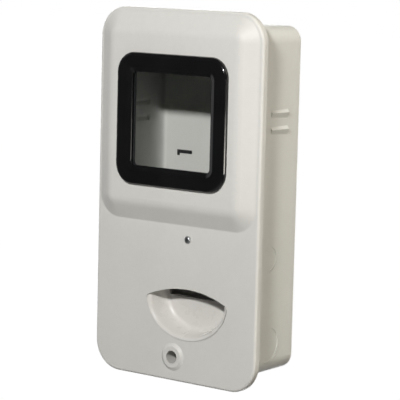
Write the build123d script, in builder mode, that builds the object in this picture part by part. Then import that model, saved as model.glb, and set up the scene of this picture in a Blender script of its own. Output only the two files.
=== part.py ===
from build123d import *
import os
from math import atan, degrees, sqrt, cos, sin, pi

os.makedirs("parts", exist_ok=True)

# Flush wall enclosure with a viewing window and a breaker recess.
# Frame: origin at the centre of the box's back face, which lies on the wall.
# +Z is up, -Y points away from the wall, +X is to the right seen from the front.
# Every depth below is a distance from the wall, in millimetres.

# ---------------------------------------------------------------- driving sizes
COVER_W, COVER_H, COVER_R = 200.0, 362.9, 29.3
D_PANEL = 80.0            # lower front panel
D_SKIRT = 72.9            # rear edge of the cover's skirt
COVER_T = 2.5             # cover wall
EDGE_R = 2.6              # rounding of the cover's front edge

PLAT_RISE = 9.5           # raised upper field
PLAT_HALF = 96.3
PLAT_BOT, PLAT_TOP = -26.6, 177.8
PLAT_R = 24.2
PLAT_RUN = 17.8           # width of its sloping border
PLAT_TOP_R = 18.0         # rounding of its upper edge

BOX_W, BOX_H, BOX_R = 172.6, 335.2, 14.9     # at the wall
BOX_GROW = 1.64           # growth of each side over 80 mm of depth
BOX_T = 2.6
D_RIMFACE = 75.8          # front face of the box's flange
FLANGE_T, FLANGE_OUT = 2.5, 5.0

WIN_Z = 74.0              # window centre
FRAME_W, FRAME_H, FRAME_R = 135.0, 128.8, 20.0
FRAME_D0, FRAME_D1 = 89.5, 93.8
LIGHT_W, LIGHT_H, LIGHT_R = 97.2, 91.4, 4.0
SPIGOT_W, SPIGOT_H, SPIGOT_R = 118.4, 112.4, 9.0
PANE_W, PANE_H, PANE_R, PANE_T = 107.4, 101.4, 4.7, 2.5

SCOOP_X, SCOOP_Z = 15.1, -99.6
SCOOP_A, SCOOP_B = 50.2, 40.2                # lower outline of the hole for the recess
BROW_R, BROW_TOP = 118.0, -89.0              # its upper edge
TIP_R = 5.5                                  # rounding where the two meet
MODULE_X = 16.0                              # centre of the four modules
DISH_DEEP = 20.0
FLOOR_TOP = -100.1
SLOT_HALF = 36.8                             # four 18 mm modules and play
HOOD_TOP = -51.0

RAIL_Z = -75.0
RAIL_LEN = 98.0
SCOOP_SCREW = (15.75, -40.0)
LOCK_Z = -157.5
HINGE_Z, HINGE_D, HINGE_X = 172.5, 74.55, 55.0
PIN_R = 1.3

DRAFT = degrees(atan(BOX_GROW / 80.0))
PLAT_TAPER = degrees(atan(PLAT_RUN / PLAT_RISE))


def at(d):
    """Plane parallel to the wall, d mm in front of it; local x, y are X, Z."""
    return Plane.XZ.offset(d)


def side_x(d):
    """Outer half width of the box at depth d."""
    return BOX_W / 2 + BOX_GROW * d / 80.0


def side_z(d):
    """Outer half height of the box at depth d."""
    return BOX_H / 2 + BOX_GROW * d / 80.0


def recess_outline(gap):
    """Outline of the recess hole, drawn gap mm inside it: an ellipse under a shallow arc."""
    with BuildSketch() as outline:
        with Locations((SCOOP_X, SCOOP_Z)):
            Ellipse(SCOOP_A - gap, SCOOP_B - gap)
        with Locations((SCOOP_X, BROW_TOP - BROW_R)):
            Circle(BROW_R - gap, mode=Mode.INTERSECT)
        fillet(outline.vertices(), TIP_R - gap)
    return outline.sketch


# ---------------------------------------------------------------- back_box
RIDGES = (86.0, 70.0)             # height of the crest of each side ridge
RIDGE_D0, RIDGE_D1 = 20.4, 47.5
WALL_HOLES = (130.0, 290.0)       # spacing of the four wall holes
RAIL_HOLES = 84.0                 # spacing of the two rail screws
# outline of the plug in the angled slot, each corner with its inward direction
SLOT_OUTLINE = [(-62.0, 36.6, 1, -1), (-43.4, 36.6, -1, -1), (-43.4, 33.2, -1, 1),
                (-59.0, 33.2, -1, 1), (-59.0, 30.8, -1, 1), (-62.0, 30.8, 1, 1)]
SLOT_IN = 0.6                     # the slot is this much smaller all round

# the inside of the box
with BuildPart() as box_hollow:
    with BuildSketch(at(BOX_T)):
        RectangleRounded(BOX_W - 2 * BOX_T, BOX_H - 2 * BOX_T, BOX_R - BOX_T)
    extrude(amount=D_RIMFACE, taper=-DRAFT)
    fillet(box_hollow.edges().group_by(Axis.Y)[-1], 8.0)

with BuildPart() as back_box:
    with BuildSketch(at(0)):
        RectangleRounded(BOX_W, BOX_H, BOX_R)
    extrude(amount=D_RIMFACE, taper=-DRAFT)
    fillet(back_box.edges().group_by(Axis.Y)[-1], 2.2)
    # flange round the mouth, under the cover's skirt
    with BuildSketch(at(D_RIMFACE - FLANGE_T)):
        RectangleRounded(2 * (side_x(D_RIMFACE) + FLANGE_OUT),
                         2 * (side_z(D_RIMFACE) + FLANGE_OUT), BOX_R + 1.5 + FLANGE_OUT)
    extrude(amount=FLANGE_T)
    # two roof-shaped ridges on each side
    for s in (1, -1):
        x0 = side_x((RIDGE_D0 + RIDGE_D1) / 2)
        for zc in RIDGES:
            with BuildSketch(at(RIDGE_D0)):
                with BuildLine():
                    Polyline([(s * (x0 - 1.4), zc + 3.3), (s * (x0 - 0.35), zc + 3.3),
                              (s * (x0 + 2.0), zc), (s * (x0 - 0.35), zc - 5.6),
                              (s * (x0 - 1.4), zc - 5.6)], close=True)
                make_face()
            extrude(amount=RIDGE_D1 - RIDGE_D0)
            # witness line from the ridge to the flange
            with BuildSketch(at(RIDGE_D1 - 0.5)):
                with Locations((s * (side_x(RIDGE_D1) - 0.9), zc + 1.3)):
                    Rectangle(2.6, 0.9)
            extrude(amount=D_RIMFACE - FLANGE_T - RIDGE_D1 + 1.0, taper=-DRAFT)
    add(box_hollow.part, mode=Mode.SUBTRACT)
    # grooves behind the ridges keep the wall even
    for s in (1, -1):
        x0 = side_x((RIDGE_D0 + RIDGE_D1) / 2)
        for zc in RIDGES:
            with BuildSketch(at(RIDGE_D0 + 1.8)):
                with BuildLine():
                    Polyline([(s * (x0 - 4.2), zc + 1.6), (s * (x0 - 2.3), zc + 1.6),
                              (s * (x0 - 0.5), zc - 0.6), (s * (x0 - 2.3), zc - 4.2),
                              (s * (x0 - 4.2), zc - 4.2)], close=True)
                make_face()
            extrude(amount=RIDGE_D1 - RIDGE_D0 - 3.6, mode=Mode.SUBTRACT)
    # bosses: two for the rail, one for the cover screw
    with BuildSketch(at(BOX_T - 0.5)):
        with Locations((MODULE_X - RAIL_HOLES / 2, RAIL_Z), (MODULE_X + RAIL_HOLES / 2, RAIL_Z)):
            Circle(5.5)
    extrude(amount=8.0 - BOX_T + 0.5)
    with BuildSketch(at(BOX_T - 0.5)):
        with Locations((0, LOCK_Z)):
            Circle(7.5)
    extrude(amount=60.8 - BOX_T + 0.5)
    with BuildSketch(at(BOX_T - 0.5)):
        with Locations((0, -163.5)):
            Rectangle(2.4, 6.6)
    extrude(amount=44.0)
    # low ribs across the back wall, above and below the meter space
    with BuildSketch(at(BOX_T - 0.5)):
        with Locations((0, 128.0), (0, -20.0)):
            Rectangle(168.4, 2.0)
    extrude(amount=4.5)
    # rail screw holes, blind
    with BuildSketch(at(8.5)):
        with Locations((MODULE_X - RAIL_HOLES / 2, RAIL_Z), (MODULE_X + RAIL_HOLES / 2, RAIL_Z)):
            Circle(1.95)
    extrude(amount=-7.4, mode=Mode.SUBTRACT)
    # cover screw boss: clip recess, then the seat of the brass insert
    with BuildSketch(at(60.9)):
        with Locations((0, LOCK_Z)):
            Circle(5.2)
    extrude(amount=-5.1, mode=Mode.SUBTRACT)
    with BuildSketch(at(56.0)):
        with Locations((0, LOCK_Z)):
            Circle(3.75)
    extrude(amount=-6.2, mode=Mode.SUBTRACT)
    with BuildSketch(at(50.0)):
        with Locations((0, LOCK_Z)):
            Circle(3.0)
    extrude(amount=-8.0, mode=Mode.SUBTRACT)
    # four wall holes
    with BuildSketch(at(-1)):
        with GridLocations(WALL_HOLES[0], WALL_HOLES[1], 2, 2):
            Circle(3.0)
    extrude(amount=5, mode=Mode.SUBTRACT)
    # angled slot in the back wall
    with BuildSketch(at(-1)):
        with BuildLine():
            Polyline([(x + SLOT_IN * a, z + SLOT_IN * b) for x, z, a, b in SLOT_OUTLINE],
                     close=True)
        make_face()
    extrude(amount=5, mode=Mode.SUBTRACT)
    # knockouts: a shallow round recess outside, a groove round it inside
    nx, ny = 80.0 / sqrt(80.0**2 + BOX_GROW**2), BOX_GROW / sqrt(80.0**2 + BOX_GROW**2)
    for s in (1, -1):
        spots = [((s * side_x(d), -d, z), (0, 0, 1), (s * nx, ny, 0), r)
                 for d, z, r in ((42.5, -138.5, 17.0), (43.5, -54.5, 12.0))]
        spots += [((x, -d, s * side_z(d)), (1, 0, 0), (0, ny, s * nx), r)
                  for d, x, r in ((40.0, -42.0, 12.0), (40.0, 42.0, 12.0))]
        for where, xd, zd, r in spots:
            with BuildSketch(Plane(origin=where, x_dir=xd, z_dir=zd)):
                Circle(r)
            extrude(amount=-1.0, mode=Mode.SUBTRACT)
            with BuildSketch(Plane(origin=where, x_dir=xd, z_dir=zd).offset(-BOX_T - 0.3)):
                Circle(r - 0.1)
                Circle(r - 0.9, mode=Mode.SUBTRACT)
            extrude(amount=1.2, mode=Mode.SUBTRACT)
    # notches in the flange's top edge, each bridged by a hinge pin
    with BuildSketch(at(D_RIMFACE - FLANGE_T - 0.5)):
        with Locations((-HINGE_X, 173.1), (HINGE_X, 173.1)):
            Rectangle(22.0, 8.1)
    extrude(amount=FLANGE_T + 1.0, mode=Mode.SUBTRACT)
    for s in (1, -1):
        with BuildSketch(Plane(origin=(s * HINGE_X - 12.0, -HINGE_D, HINGE_Z),
                               x_dir=(0, 1, 0), z_dir=(1, 0, 0))):
            Circle(PIN_R)
        extrude(amount=24.0)
back_box.part.label = "back_box"
export_step(back_box.part, "parts/back_box.step")

# ---------------------------------------------------------------- front_cover
HOOK_R = 2.45
HOOK_W = 16.0
INNER_OFF = 0.63          # run-in of the raised field's inside face
LIP = (169.4, 332.0)      # locating lip, outside
LAND = (178.0, 340.6)     # seal land, outside

# outer form of the cover, used twice below
with BuildPart() as cover_form:
    with BuildSketch(at(D_SKIRT)):
        RectangleRounded(COVER_W, COVER_H, COVER_R)
    extrude(amount=D_PANEL - D_SKIRT)
    fillet(cover_form.edges().group_by(Axis.Y)[0], EDGE_R)
    with BuildSketch(at(D_PANEL)):
        with Locations((0, (PLAT_TOP + PLAT_BOT) / 2)):
            RectangleRounded(2 * PLAT_HALF, PLAT_TOP - PLAT_BOT, PLAT_R)
    extrude(amount=PLAT_RISE, taper=PLAT_TAPER)
    fillet(cover_form.edges().group_by(Axis.Y)[0], PLAT_TOP_R)
    foot = [e for e in cover_form.edges().filter_by_position(Axis.Y, -D_PANEL - 0.01, -D_PANEL + 0.01)
            if e.bounding_box().max.X < PLAT_HALF + 0.1 and e.bounding_box().min.X > -PLAT_HALF - 0.1
            and e.bounding_box().max.Z < PLAT_TOP + 0.1]
    fillet(foot, 3.5)

# locating lip inside the box's mouth, and the land that carries the seal
with BuildPart() as cover_lip:
    with BuildSketch(at(77.4)):
        RectangleRounded(LAND[0], LAND[1], 17.5)
        RectangleRounded(LIP[0] - 3.0, LIP[1] - 3.0, 10.9, mode=Mode.SUBTRACT)
    extrude(amount=9.0)
    add(cover_form.part, mode=Mode.INTERSECT)
    with BuildSketch(at(72.0)):
        RectangleRounded(LIP[0], LIP[1], 12.4)
        RectangleRounded(LIP[0] - 3.0, LIP[1] - 3.0, 10.9, mode=Mode.SUBTRACT)
    extrude(amount=5.6)

with BuildPart() as front_cover:
    add(cover_form.part)
    # hollow behind the panel
    with BuildSketch(at(D_SKIRT - 0.5)):
        RectangleRounded(COVER_W - 2 * COVER_T, COVER_H - 2 * COVER_T, COVER_R - COVER_T)
    extrude(amount=D_PANEL - COVER_T - D_SKIRT + 0.5, mode=Mode.SUBTRACT)
    with BuildSketch(at(D_PANEL - COVER_T)):
        with Locations((0, (PLAT_TOP + PLAT_BOT) / 2)):
            RectangleRounded(2 * (PLAT_HALF - INNER_OFF), PLAT_TOP - PLAT_BOT - 2 * INNER_OFF,
                             PLAT_R - INNER_OFF)
    extrude(amount=PLAT_RISE, taper=PLAT_TAPER, mode=Mode.SUBTRACT)
    add(cover_lip.part)
    # hole of the cover screw's collar, with room for its sleeve behind
    with BuildSketch(at(60.0)):
        with Locations((0, LOCK_Z)):
            Circle(7.56)
    extrude(amount=23.0, mode=Mode.SUBTRACT)
    # window hole
    with BuildSketch(at(D_PANEL)):
        with Locations((0, WIN_Z)):
            RectangleRounded(SPIGOT_W + 0.4, SPIGOT_H + 0.4, SPIGOT_R + 0.2)
    extrude(amount=12.0, mode=Mode.SUBTRACT)
    # recess hole
    with BuildSketch(at(D_PANEL - 4.0)):
        add(recess_outline(0.0))
    extrude(amount=8.0, mode=Mode.SUBTRACT)
    # hole of the recess screw
    with BuildSketch(at(D_PANEL - 4.0)):
        with Locations(SCOOP_SCREW):
            Circle(1.75)
    extrude(amount=8.0, mode=Mode.SUBTRACT)
    # hinge hooks behind the top edge, open to the rear
    for s in (1, -1):
        with BuildSketch(Plane(origin=(s * HINGE_X - HOOK_W / 2, -HINGE_D, HINGE_Z),
                               x_dir=(0, 1, 0), z_dir=(1, 0, 0))):
            Circle(HOOK_R)
            with Locations((-3.85, 0)):
                Rectangle(6.5, 3.2)
            Circle(PIN_R + 0.08, mode=Mode.SUBTRACT)
            with Locations((2.0, 0)):
                Rectangle(4.0, 2.1, mode=Mode.SUBTRACT)
        extrude(amount=HOOK_W)
front_cover.part.label = "front_cover"
export_step(front_cover.part, "parts/front_cover.step")

# ---------------------------------------------------------------- window_frame
RIDGE = 5.0               # width of the sloping inner border
RETAINER_SCREWS = [(sx * 40.0, WIN_Z + sz * 53.6) for sx in (1, -1) for sz in (1, -1)]

with BuildPart() as window_frame:
    with BuildSketch(at(FRAME_D0)):
        with Locations((0, WIN_Z)):
            RectangleRounded(FRAME_W, FRAME_H, FRAME_R)
    extrude(amount=FRAME_D1 - FRAME_D0)
    fillet(window_frame.edges().group_by(Axis.Y)[0], 3.1)
    with BuildSketch(at(87.2)):
        with Locations((0, WIN_Z)):
            RectangleRounded(SPIGOT_W, SPIGOT_H, SPIGOT_R)
    extrude(amount=2.5)
    # sloping inner border down to the light opening
    with BuildSketch(at(91.8)):
        with Locations((0, WIN_Z)):
            RectangleRounded(LIGHT_W, LIGHT_H, LIGHT_R)
    with BuildSketch(at(FRAME_D1)):
        with Locations((0, WIN_Z)):
            RectangleRounded(LIGHT_W + 2 * RIDGE, LIGHT_H + 2 * RIDGE, LIGHT_R + RIDGE)
    loft(mode=Mode.SUBTRACT)
    with BuildSketch(at(86.5)):
        with Locations((0, WIN_Z)):
            RectangleRounded(LIGHT_W, LIGHT_H, LIGHT_R)
    extrude(amount=6.0, mode=Mode.SUBTRACT)
    # the two inner edges are slightly rounded
    for d, w in ((FRAME_D1, LIGHT_W + 2 * RIDGE), (91.8, LIGHT_W)):
        ring = [e for e in window_frame.edges().filter_by_position(Axis.Y, -d - 0.01, -d + 0.01)
                if e.bounding_box().max.X < w / 2 + 0.1 and e.bounding_box().min.X > -w / 2 - 0.1]
        fillet(ring, 0.7)
    # rebate for the pane and its seal
    with BuildSketch(at(86.5)):
        with Locations((0, WIN_Z)):
            RectangleRounded(PANE_W + 0.6, PANE_H + 0.6, PANE_R + 0.3)
    extrude(amount=3.8, mode=Mode.SUBTRACT)
    with BuildSketch(at(86.5)):
        with Locations(*RETAINER_SCREWS):
            Circle(1.5)
    extrude(amount=4.6, mode=Mode.SUBTRACT)
window_frame.part.label = "window_frame"
export_step(window_frame.part, "parts/window_frame.step")

# ---------------------------------------------------------------- window_seal
with BuildPart() as window_seal:
    with BuildSketch(at(89.5)):
        with Locations((0, WIN_Z)):
            RectangleRounded(PANE_W + 0.2, PANE_H + 0.2, PANE_R)
            RectangleRounded(LIGHT_W + 1.2, LIGHT_H + 1.2, LIGHT_R, mode=Mode.SUBTRACT)
    extrude(amount=0.8)
window_seal.part.label = "window_seal"
export_step(window_seal.part, "parts/window_seal.step")

# ---------------------------------------------------------------- window_pane
with BuildPart() as window_pane:
    with BuildSketch(at(89.5 - PANE_T)):
        with Locations((0, WIN_Z)):
            RectangleRounded(PANE_W, PANE_H, PANE_R)
    extrude(amount=PANE_T)
window_pane.part.label = "window_pane"
export_step(window_pane.part, "parts/window_pane.step")

# ---------------------------------------------------------------- pane_retainer
with BuildPart() as pane_retainer:
    with BuildSketch(at(84.5)):
        with Locations((0, WIN_Z)):
            RectangleRounded(130.0, 124.0, 14.0)
            RectangleRounded(LIGHT_W + 1.0, LIGHT_H + 1.0, LIGHT_R, mode=Mode.SUBTRACT)
    extrude(amount=2.5)
    fillet(pane_retainer.edges().group_by(Axis.Y)[-1], 0.6)
    with BuildSketch(at(83.5)):
        with Locations(*RETAINER_SCREWS):
            Circle(1.7)
    extrude(amount=4.0, mode=Mode.SUBTRACT)
pane_retainer.part.label = "pane_retainer"
export_step(pane_retainer.part, "parts/pane_retainer.step")

# ---------------------------------------------------------------- retainer_screws
with BuildPart() as retainer_screws:
    with BuildSketch(at(82.7)):
        with Locations(*RETAINER_SCREWS):
            Circle(2.7)
    extrude(amount=1.8)
    fillet(retainer_screws.edges().group_by(Axis.Y)[-1], 1.0)
    with BuildSketch(at(84.5)):
        with Locations(*RETAINER_SCREWS):
            Circle(1.44)
    extrude(amount=6.2)
    with BuildSketch(at(82.6)):
        with Locations(*RETAINER_SCREWS):
            Rectangle(2.6, 0.6)
            Rectangle(0.6, 2.6)
    extrude(amount=1.0, mode=Mode.SUBTRACT)
retainer_screws.part.label = "retainer_screws"
export_step(retainer_screws.part, "parts/retainer_screws.step")

# ---------------------------------------------------------------- cover_seal
with BuildPart() as cover_seal:
    with BuildSketch(at(75.9)):
        RectangleRounded(LAND[0] - 0.4, LAND[1] - 0.4, 17.3)
        RectangleRounded(LIP[0] + 0.4, LIP[1] + 0.4, 12.6, mode=Mode.SUBTRACT)
    extrude(amount=1.5)
cover_seal.part.label = "cover_seal"
export_step(cover_seal.part, "parts/cover_seal.step")

# ---------------------------------------------------------------- breaker_scoop
# sections of the dish, (depth below the panel, half width, half height)
PROUD = 0.35              # the lip stands this much in front of the panel
INSIDE = [(-PROUD, 49.1, 39.1), (0.4, 47.5, 37.7), (1.3, 46.5, 36.8), (2.8, 45.6, 36.1),
          (5.0, 44.8, 35.5), (10.0, 43.1, 34.5), (14.0, 41.5, 33.5), (17.0, 39.7, 32.3),
          (19.0, 37.5, 30.8), (DISH_DEEP, 34.6, 28.8)]
OUTSIDE = [(-PROUD, 49.85, 39.85), (5.0, 47.9, 38.5), (10.0, 45.8, 37.1), (15.0, 43.6, 35.6),
           (19.0, 41.4, 34.0), (21.0, 39.4, 32.5), (22.2, 36.6, 30.5)]

with BuildPart() as dish_inside:
    for t, a, b in INSIDE:
        with BuildSketch(at(D_PANEL - t)):
            with Locations((SCOOP_X, SCOOP_Z)):
                Ellipse(a, b)
    loft()
    # open to the front
    with BuildSketch(at(D_PANEL + PROUD - 0.01)):
        with Locations((SCOOP_X, SCOOP_Z)):
            Ellipse(INSIDE[0][1], INSIDE[0][2])
    extrude(amount=2.0)

with BuildPart() as breaker_scoop:
    for t, a, b in OUTSIDE:
        with BuildSketch(at(D_PANEL - t)):
            with Locations((SCOOP_X, SCOOP_Z)):
                Ellipse(a, b)
    loft()
    # hood round the breaker's nose
    with BuildSketch(at(D_PANEL - DISH_DEEP)):
        with Locations((MODULE_X, (HOOD_TOP + 2.0 + FLOOR_TOP) / 2)):
            Rectangle(2 * (SLOT_HALF + 2.0), HOOD_TOP + 2.0 - FLOOR_TOP)
    extrude(amount=DISH_DEEP - 2.6)
    # flange against the cover's back
    with BuildSketch(at(75.4)):
        with Locations((MODULE_X, -89.2)):
            RectangleRounded(112.0, 113.0, 30.0)
    extrude(amount=2.0)
    # boss of the recess screw
    with BuildSketch(at(69.4)):
        with Locations(SCOOP_SCREW):
            Circle(3.6)
    extrude(amount=7.0)
    # the lip in the cover's hole follows the hole's outline
    with BuildSketch(at(77.4)):
        with Locations((SCOOP_X, SCOOP_Z)):
            Rectangle(140, 140)
        add(recess_outline(0.4), mode=Mode.SUBTRACT)
    extrude(amount=5.0, mode=Mode.SUBTRACT)
    add(dish_inside.part, mode=Mode.SUBTRACT)
    # way through to the breaker's nose
    with BuildSketch(at(D_PANEL - DISH_DEEP - 3.0)):
        with Locations((MODULE_X, (HOOD_TOP + FLOOR_TOP - 0.2) / 2)):
            Rectangle(2 * SLOT_HALF, HOOD_TOP - FLOOR_TOP + 0.2)
    extrude(amount=DISH_DEEP + 5.0, mode=Mode.SUBTRACT)
    with BuildSketch(at(70.4)):
        with Locations(SCOOP_SCREW):
            Circle(1.5)
    extrude(amount=8.0, mode=Mode.SUBTRACT)
breaker_scoop.part.label = "breaker_scoop"
export_step(breaker_scoop.part, "parts/breaker_scoop.step")

# ---------------------------------------------------------------- scoop_screw
with BuildPart() as scoop_screw:
    with BuildSketch(at(D_PANEL)):
        with Locations(SCOOP_SCREW):
            Circle(3.75)
    extrude(amount=2.4)
    fillet(scoop_screw.edges().group_by(Axis.Y)[0], 2.3)
    with BuildSketch(at(71.2)):
        with Locations(SCOOP_SCREW):
            Circle(1.44)
    extrude(amount=D_PANEL - 71.2)
scoop_screw.part.label = "scoop_screw"
export_step(scoop_screw.part, "parts/scoop_screw.step")

# ---------------------------------------------------------------- screw_collar
with BuildPart() as screw_collar:
    with BuildSketch(at(61.5)):
        with Locations((0, LOCK_Z)):
            Circle(7.5)
    extrude(amount=D_PANEL - 61.5 + 0.2)
    with BuildSketch(at(D_PANEL)):
        with Locations((0, LOCK_Z)):
            Circle(13.7)
    extrude(amount=2.0, taper=degrees(atan(3.2 / 2.0)))
    fillet(screw_collar.edges().group_by(Axis.Y)[0], 1.0)
    with BuildSketch(at(64.0)):
        with Locations((0, LOCK_Z)):
            Circle(6.5)
    extrude(amount=20.0, mode=Mode.SUBTRACT)
    with BuildSketch(at(61.0)):
        with Locations((0, LOCK_Z)):
            Circle(2.55)
    extrude(amount=4.0, mode=Mode.SUBTRACT)
screw_collar.part.label = "screw_collar"
export_step(screw_collar.part, "parts/screw_collar.step")

# ---------------------------------------------------------------- cover_screw
SCREW_R = 2.2
with BuildPart() as cover_screw:
    with BuildSketch(Plane(origin=(0, 0, LOCK_Z), x_dir=(1, 0, 0), z_dir=(0, 0, 1))):
        with BuildLine():
            Polyline((0, -52.0), (1.5, -52.0), (SCREW_R, -52.8), (SCREW_R, -56.25), (1.8, -56.25),
                     (1.8, -56.95), (SCREW_R, -56.95), (SCREW_R, -64.05), (4.4, -64.05),
                     (4.4, -67.0), (3.8, -67.6), (0, -67.6), close=True)
        make_face()
    revolve(axis=Axis((0, 0, LOCK_Z), (0, 1, 0)))
    with BuildSketch(at(66.0)):
        with Locations((0, LOCK_Z)):
            Rectangle(7.0, 1.2)
    extrude(amount=2.0, mode=Mode.SUBTRACT)
cover_screw.part.label = "cover_screw"
export_step(cover_screw.part, "parts/cover_screw.step")

# ---------------------------------------------------------------- screw_clip
with BuildPart() as screw_clip:
    with BuildSketch(at(56.3)):
        with Locations((0, LOCK_Z)):
            Circle(4.1)
            Circle(1.86, mode=Mode.SUBTRACT)
        with Locations((0, LOCK_Z - 2.6)):
            Rectangle(2.6, 4.0, mode=Mode.SUBTRACT)
    extrude(amount=0.6)
screw_clip.part.label = "screw_clip"
export_step(screw_clip.part, "parts/screw_clip.step")

# ---------------------------------------------------------------- screw_insert
with BuildPart() as screw_insert:
    with BuildSketch(at(49.9)):
        with Locations((0, LOCK_Z)):
            Circle(3.7)
            Circle(2.65, mode=Mode.SUBTRACT)
    extrude(amount=5.9)
    with BuildSketch(at(52.3)):
        with Locations((0, LOCK_Z)):
            Circle(3.9)
            Circle(3.3, mode=Mode.SUBTRACT)
    extrude(amount=0.9, mode=Mode.SUBTRACT)
screw_insert.part.label = "screw_insert"
export_step(screw_insert.part, "parts/screw_insert.step")

# ---------------------------------------------------------------- din_rail
with BuildPart() as din_rail:
    with BuildSketch(Plane(origin=(MODULE_X - RAIL_LEN / 2, 0, RAIL_Z), x_dir=(0, 1, 0),
                           z_dir=(1, 0, 0))):
        with BuildLine():
            Polyline([(-8.0, -13.5), (-8.0, 13.5), (-14.5, 13.5), (-14.5, 17.5), (-15.5, 17.5),
                      (-15.5, 12.5), (-9.0, 12.5), (-9.0, -12.5), (-15.5, -12.5),
                      (-15.5, -17.5), (-14.5, -17.5), (-14.5, -13.5)], close=True)
        make_face()
    extrude(amount=RAIL_LEN)
    with BuildSketch(at(7.0)):
        with Locations(*[(MODULE_X + dx, RAIL_Z) for dx in (-37.5, -12.5, 12.5, 37.5)]):
            SlotOverall(15.0, 6.2)
    extrude(amount=4.0, mode=Mode.SUBTRACT)
din_rail.part.label = "din_rail"
export_step(din_rail.part, "parts/din_rail.step")

# ---------------------------------------------------------------- rail_screws
RAIL_SCREWS = [(MODULE_X - RAIL_HOLES / 2, RAIL_Z), (MODULE_X + RAIL_HOLES / 2, RAIL_Z)]
with BuildPart() as rail_screws:
    with BuildSketch(at(9.0)):
        with Locations(*RAIL_SCREWS):
            Circle(3.7)
    extrude(amount=2.4)
    fillet(rail_screws.edges().group_by(Axis.Y)[0], 1.4)
    with BuildSketch(at(2.3)):
        with Locations(*RAIL_SCREWS):
            Circle(1.88)
    extrude(amount=6.7)
    with BuildSketch(at(10.2)):
        with Locations(*RAIL_SCREWS):
            Rectangle(3.6, 0.8)
            Rectangle(0.8, 3.6)
    extrude(amount=2.0, mode=Mode.SUBTRACT)
rail_screws.part.label = "rail_screws"
export_step(rail_screws.part, "parts/rail_screws.step")

# ---------------------------------------------------------------- slot_plug
with BuildPart() as slot_plug:
    with BuildSketch(at(0.4)):
        with BuildLine():
            Polyline([(x + (SLOT_IN + 0.05) * a, z + (SLOT_IN + 0.05) * b)
                      for x, z, a, b in SLOT_OUTLINE], close=True)
        make_face()
    extrude(amount=BOX_T - 0.3)
    with BuildSketch(at(BOX_T)):
        with BuildLine():
            Polyline([(x, z) for x, z, a, b in SLOT_OUTLINE], close=True)
        make_face()
    extrude(amount=0.7)
slot_plug.part.label = "slot_plug"
export_step(slot_plug.part, "parts/slot_plug.step")
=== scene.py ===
import math

import bpy
from mathutils import Matrix, Vector

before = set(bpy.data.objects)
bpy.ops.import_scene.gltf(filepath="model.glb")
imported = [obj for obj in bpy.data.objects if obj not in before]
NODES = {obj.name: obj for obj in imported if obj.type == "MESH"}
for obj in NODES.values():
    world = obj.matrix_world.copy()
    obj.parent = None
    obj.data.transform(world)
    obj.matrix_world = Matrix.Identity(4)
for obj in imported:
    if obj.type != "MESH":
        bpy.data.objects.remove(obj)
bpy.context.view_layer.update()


# ------------------------------------------------------------------ helpers
def lin(r, g, b):
    """sRGB 0-255 to linear."""
    out = []
    for v in (r, g, b):
        v /= 255.0
        out.append(v / 12.92 if v <= 0.04045 else ((v + 0.055) / 1.055) ** 2.4)
    return tuple(out)


class Mat:
    """A small builder for procedural materials in object coordinates (metres)."""

    def __init__(self, name):
        self.m = bpy.data.materials.new(name)
        self.m.use_nodes = True
        self.t = self.m.node_tree
        self.bsdf = self.t.nodes["Principled BSDF"]
        self.co = self.t.nodes.new("ShaderNodeTexCoord").outputs["Object"]

    def new(self, kind, **props):
        n = self.t.nodes.new(kind)
        for k, v in props.items():
            setattr(n, k, v)
        return n

    def link(self, a, b):
        self.t.links.new(a, b)

    def noise(self, scale, detail=2.0, rough=0.5, distortion=0.0, vector=None):
        n = self.new("ShaderNodeTexNoise")
        n.inputs["Scale"].default_value = scale
        n.inputs["Detail"].default_value = detail
        n.inputs["Roughness"].default_value = rough
        n.inputs["Distortion"].default_value = distortion
        self.link(vector or self.co, n.inputs["Vector"])
        return n.outputs["Fac"]

    def stretch(self, sx, sy, sz):
        n = self.new("ShaderNodeMapping")
        n.inputs["Scale"].default_value = (sx, sy, sz)
        self.link(self.co, n.inputs["Vector"])
        return n.outputs["Vector"]

    def span(self, value, lo, hi, a, b):
        n = self.new("ShaderNodeMapRange")
        n.inputs["From Min"].default_value = lo
        n.inputs["From Max"].default_value = hi
        n.inputs["To Min"].default_value = a
        n.inputs["To Max"].default_value = b
        self.link(value, n.inputs["Value"])
        return n.outputs["Result"]

    def math(self, op, a, b=None):
        n = self.new("ShaderNodeMath", operation=op)
        for i, v in enumerate((a, b)):
            if v is None:
                continue
            if isinstance(v, (int, float)):
                n.inputs[i].default_value = v
            else:
                self.link(v, n.inputs[i])
        return n.outputs[0]

    def mix(self, fac, a, b):
        n = self.new("ShaderNodeMix", data_type="RGBA")
        self.link(fac, n.inputs["Factor"])
        for sock, v in ((n.inputs[6], a), (n.inputs[7], b)):
            if isinstance(v, tuple):
                sock.default_value = (*v, 1.0)
            else:
                self.link(v, sock)
        return n.outputs[2]

    def bump(self, height, strength, distance, normal=None):
        n = self.new("ShaderNodeBump")
        n.inputs["Strength"].default_value = strength
        n.inputs["Distance"].default_value = distance
        self.link(height, n.inputs["Height"])
        if normal is not None:
            self.link(normal, n.inputs["Normal"])
        return n.outputs["Normal"]

    def set(self, **kw):
        for k, v in kw.items():
            s = self.bsdf.inputs[k.replace("_", " ")]
            if hasattr(v, "is_output"):
                self.link(v, s)
            elif isinstance(v, tuple):
                s.default_value = (*v, 1.0) if len(v) == 3 and s.type == "RGBA" else v
            else:
                s.default_value = v


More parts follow.
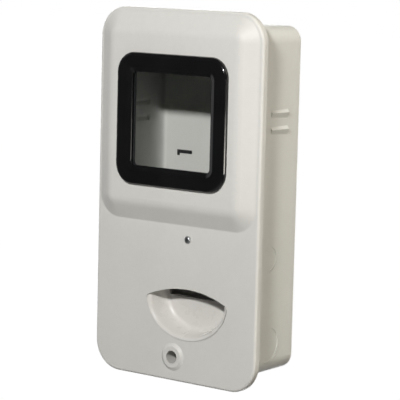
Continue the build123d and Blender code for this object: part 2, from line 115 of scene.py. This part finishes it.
def moulded(name, light, dark, rough, spec=0.42, grain=0.35, painted_inner_shade=None):
    """Injection-moulded plastic: spark-eroded grain, slow tone drift, dull handled patches.

    painted_inner_shade is a darker colour painted on the inner faces as shade, given with the function that
    finds them from the surface's own direction and place."""
    m = Mat(name)
    drift = m.noise(9.0, 3.0, 0.55)
    fine = m.noise(160.0, 3.0, 0.6)
    tone = m.math("ADD", m.math("MULTIPLY", drift, 0.75), m.math("MULTIPLY", fine, 0.25))
    colour = m.mix(m.span(tone, 0.35, 0.65, 0.0, 1.0), dark, light)
    # painted shade: inner faces get a darker colour standing in for the shade inside the box and the well
    if painted_inner_shade:
        way, place = m.new("ShaderNodeSeparateXYZ"), m.new("ShaderNodeSeparateXYZ")
        m.link(m.new("ShaderNodeTexCoord").outputs["Normal"], way.inputs[0])
        m.link(m.co, place.inputs[0])
        colour = m.mix(painted_inner_shade[1](m, way.outputs, place.outputs), colour, painted_inner_shade[0])
    m.set(Base_Color=colour)
    blotch = m.noise(28.0, 4.0, 0.6)
    m.set(Roughness=m.span(blotch, 0.3, 0.7, rough - 0.05, rough + 0.06))
    g1 = m.noise(2600.0, 2.0, 0.6)
    g2 = m.noise(55.0, 2.0, 0.5)
    n = m.bump(g2, 0.10, 0.0006)
    n = m.bump(g1, grain, 0.00006, n)
    m.set(Normal=n, IOR=1.49, Specular_IOR_Level=spec)
    return m.m


def cover_painted_shade(m, way, place):
    """1 on the face towards the wall, within the box's mouth, where shade is painted darker."""
    facing = m.span(way["Y"], 0.3, 0.6, 0.0, 1.0)
    in_x = m.span(m.math("ABSOLUTE", place["X"]), 0.086, 0.089, 1.0, 0.0)
    in_z = m.span(m.math("ABSOLUTE", place["Z"]), 0.164, 0.167, 1.0, 0.0)
    return m.math("MULTIPLY", facing, m.math("MULTIPLY", in_x, in_z))


def box_painted_shade(m, way, place):
    """1 on the walls that look towards the middle, where shade is painted darker."""
    outward = m.math("ADD", m.math("MULTIPLY", way["X"], place["X"]),
                     m.math("MULTIPLY", way["Z"], place["Z"]))
    return m.span(outward, -0.05, -0.02, 1.0, 0.0)


def well_painted_shade(m, way, place):
    """1 on the wall of the screw's well, which looks towards the screw, where shade is painted darker."""
    outward = m.math("ADD", m.math("MULTIPLY", way["X"], place["X"]),
                     m.math("MULTIPLY", way["Z"], m.math("ADD", place["Z"], 0.1575)))
    return m.span(outward, -0.004, -0.002, 1.0, 0.0)


# ------------------------------------------------------------------ materials
# cover: the face towards the wall is painted darker, as shade inside the closed box
cover_mat = moulded("cover_plastic", lin(229, 228, 223), lin(223, 222, 217), 0.47,
                    painted_inner_shade=(lin(146, 145, 142), cover_painted_shade))
# box: the inner walls are painted darker, as shade inside the box
box_mat = moulded("box_plastic", lin(233, 234, 229), lin(227, 228, 223), 0.50,
                  painted_inner_shade=(lin(200, 201, 197), box_painted_shade))
# collar: the well's wall is painted darker, as shade in the well
collar_mat = moulded("collar_plastic", lin(229, 228, 223), lin(223, 222, 217), 0.42,
                     painted_inner_shade=(lin(200, 199, 195), well_painted_shade))
scoop_mat = moulded("scoop_plastic", lin(230, 228, 223), lin(224, 222, 217), 0.27, grain=0.15)


def gloss_black():
    m = Mat("frame_black")
    haze = m.noise(35.0, 4.0, 0.6)
    fine = m.noise(900.0, 2.0, 0.5)
    m.set(Base_Color=m.mix(m.span(haze, 0.3, 0.7, 0.0, 1.0), lin(21, 21, 22), lin(26, 26, 27)))
    m.set(Roughness=m.span(haze, 0.3, 0.7, 0.09, 0.15))
    n = m.bump(m.noise(60.0, 2.0), 0.08, 0.0005)
    n = m.bump(fine, 0.05, 0.00004, n)
    m.set(Normal=n, IOR=1.5, Specular_IOR_Level=0.5)
    return m.m


def satin_black():
    m = Mat("retainer_plastic")
    haze = m.noise(60.0, 3.0)
    m.set(Base_Color=m.mix(haze, lin(34, 34, 36), lin(46, 46, 48)))
    m.set(Roughness=m.span(haze, 0.3, 0.7, 0.4, 0.55))
    m.set(Normal=m.bump(m.noise(2200.0), 0.2, 0.00005))
    return m.m


def rubber():
    m = Mat("seal_rubber")
    cells = m.noise(1400.0, 3.0, 0.7)
    m.set(Base_Color=m.mix(cells, lin(26, 26, 27), lin(44, 44, 45)))
    m.set(Roughness=m.span(cells, 0.3, 0.7, 0.75, 0.92), Normal=m.bump(cells, 0.5, 0.0001))
    return m.m


def metal(name, a, b, rough, streak=(40.0, 900.0, 40.0)):
    m = Mat(name)
    s = m.noise(3.0, 4.0, 0.6, vector=m.stretch(*streak))
    spangle = m.noise(420.0, 3.0, 0.6)
    m.set(Base_Color=m.mix(m.span(spangle, 0.3, 0.7, 0.0, 1.0), a, b), Metallic=1.0)
    m.set(Roughness=m.span(s, 0.3, 0.7, rough - 0.06, rough + 0.08))
    m.set(Normal=m.bump(s, 0.15, 0.00006))
    return m.m


def clear():
    m = Mat("pane_clear")
    smear = m.noise(22.0, 4.0, 0.6, 0.6)
    m.set(Base_Color=m.mix(smear, lin(44, 50, 51), lin(30, 34, 35)))
    m.set(Roughness=m.span(smear, 0.35, 0.7, 0.03, 0.09))
    m.set(Normal=m.bump(m.noise(14.0, 1.0), 0.04, 0.0004))
    m.set(IOR=1.49, Alpha=0.05)
    m.m.use_transparent_shadow = True
    return m.m


FINISH = {
    "front_cover": cover_mat,
    "back_box": box_mat,
    "breaker_scoop": scoop_mat,
    "screw_collar": collar_mat,
    "window_frame": gloss_black(),
    "pane_retainer": satin_black(),
    "window_pane": clear(),
    "window_seal": rubber(),
    "cover_seal": None,
    "slot_plug": None,
    "retainer_screws": metal("zinc_steel", lin(196, 198, 200), lin(178, 181, 184), 0.32),
    "scoop_screw": None,
    "cover_screw": None,
    "screw_clip": None,
    "rail_screws": None,
    "din_rail": metal("rail_zinc", lin(190, 193, 197), lin(172, 176, 181), 0.34, (900.0, 40.0, 40.0)),
    "screw_insert": metal("insert_brass", lin(206, 172, 104), lin(188, 152, 84), 0.30),
}
FINISH["cover_seal"] = FINISH["slot_plug"] = FINISH["window_seal"]
for n in ("scoop_screw", "cover_screw", "screw_clip", "rail_screws"):
    FINISH[n] = FINISH["retainer_screws"]

for name, obj in NODES.items():
    mat = FINISH[name]
    if not obj.material_slots:
        obj.data.materials.append(mat)
    for s in obj.material_slots:
        s.material = mat


# ------------------------------------------------------------------ stage
def plane(name, half, z):
    me = bpy.data.meshes.new(name)
    me.from_pydata([(-half, -half, z), (half, -half, z), (half, half, z), (-half, half, z)], [],
                   [(0, 1, 2, 3)])
    ob = bpy.data.objects.new(name, me)
    bpy.context.scene.collection.objects.link(ob)
    return ob


FLOOR_GLOW = 1.0
WORLD_SEEN, WORLD_LIGHT = 1.0, 0.004
floor = plane("floor", 60.0, -3.00)
fm = Mat("floor_pale")
fm.set(Base_Color=fm.mix(fm.noise(0.6, 2.0), lin(226, 226, 226), lin(232, 232, 232)))
# the sweep looks evenly lit but throws no light back on the object
seen = fm.new("ShaderNodeLightPath").outputs["Is Camera Ray"]
fm.set(Roughness=0.9, Specular_IOR_Level=0.1, Emission_Color=(1.0, 1.0, 1.0),
       Emission_Strength=fm.span(seen, 0.0, 1.0, 0.0, FLOOR_GLOW))
floor.data.materials.append(fm.m)

world = bpy.data.worlds.new("studio")
bpy.context.scene.world = world
world.use_nodes = True
bg = world.node_tree.nodes["Background"]
bg.inputs["Color"].default_value = (1.0, 1.0, 1.0, 1.0)
wt = world.node_tree
ray = wt.nodes.new("ShaderNodeLightPath")
amount = wt.nodes.new("ShaderNodeMapRange")
amount.inputs["To Min"].default_value = WORLD_LIGHT
amount.inputs["To Max"].default_value = WORLD_SEEN
wt.links.new(ray.outputs["Is Camera Ray"], amount.inputs["Value"])
wt.links.new(amount.outputs["Result"], bg.inputs["Strength"])


def area(name, where, aim, size, watts, colour=(1.0, 1.0, 1.0), size_y=None, shape="DISK"):
    d = bpy.data.lights.new(name, "AREA")
    d.shape = shape
    d.size = size
    if size_y:
        d.size_y = size_y
    d.energy = watts
    d.color = colour
    ob = bpy.data.objects.new(name, d)
    bpy.context.scene.collection.objects.link(ob)
    w = Vector(where)
    ob.location = w
    ob.rotation_euler = (Vector(aim) - w).to_track_quat("-Z", "Y").to_euler()
    return ob


mid = (0.0, -0.08, 0.0)
area("key", (0.515, -1.38, 0.792), mid, 0.25, 21.6, (1.0, 0.991, 0.981), size_y=0.106, shape="ELLIPSE")
area("side", (1.38, 0.38, 0.95), mid, 0.8, 12.5, (1.0, 0.93, 0.81), shape="SQUARE")
area("low", (1.4, -0.26, -0.13), mid, 0.8, 2.4, (1.0, 0.93, 0.81), size_y=0.1, shape="RECTANGLE")
strip = area("strip", (1.4, -0.40, -0.16), mid, 1.0, 4.5, (1.0, 0.97, 0.92), size_y=0.22, shape="RECTANGLE")
strip.visible_diffuse = False          # seen only as a gleam along the glossy edges
area("left", (-1.4, -0.25, 0.2), mid, 1.6, 3.3, shape="SQUARE")
# the bounce that a floor just below the object would give
area("bounce", (0.1, -0.75, -1.5), mid, 2.4, 3.5, shape="SQUARE")
# these two only reach the back, the left side and the underside
area("back_left", (-1.3, 1.1, 0.6), mid, 1.0, 15.0, shape="SQUARE")
area("under", (-0.5, 0.7, -0.55), mid, 0.6, 3.0, shape="SQUARE")

# ------------------------------------------------------------------ camera
YAW, PITCH, ROLL = 0.666082918, 0.127566121, 0.0249010738
DIST, F_PX = 1.92041914, 2001.15220
TARGET = Vector((0.0292915535, -0.080, 0.000140556))
cy, sy, cp, sp = math.cos(YAW), math.sin(YAW), math.cos(PITCH), math.sin(PITCH)
cr, sr = math.cos(ROLL), math.sin(ROLL)
fwd = Vector((-sy * cp, cy * cp, -sp))
right = Vector((cy, sy, 0.0))
up = right.cross(fwd)
r2 = cr * right + sr * up
u2 = -sr * right + cr * up
pos = TARGET - fwd * DIST
cam_data = bpy.data.cameras.new("camera")
cam_data.sensor_width = 36.0
cam_data.sensor_fit = "HORIZONTAL"
cam_data.lens = F_PX / 400.0 * 36.0
cam_data.clip_start, cam_data.clip_end = 0.05, 200.0
cam = bpy.data.objects.new("camera", cam_data)
bpy.context.scene.collection.objects.link(cam)
cam.matrix_world = Matrix((
    (r2.x, u2.x, -fwd.x, pos.x),
    (r2.y, u2.y, -fwd.y, pos.y),
    (r2.z, u2.z, -fwd.z, pos.z),
    (0.0, 0.0, 0.0, 1.0),
))
bpy.context.scene.camera = cam
bpy.context.scene.view_settings.view_transform = "Standard"
bpy.context.scene.view_settings.look = "None"
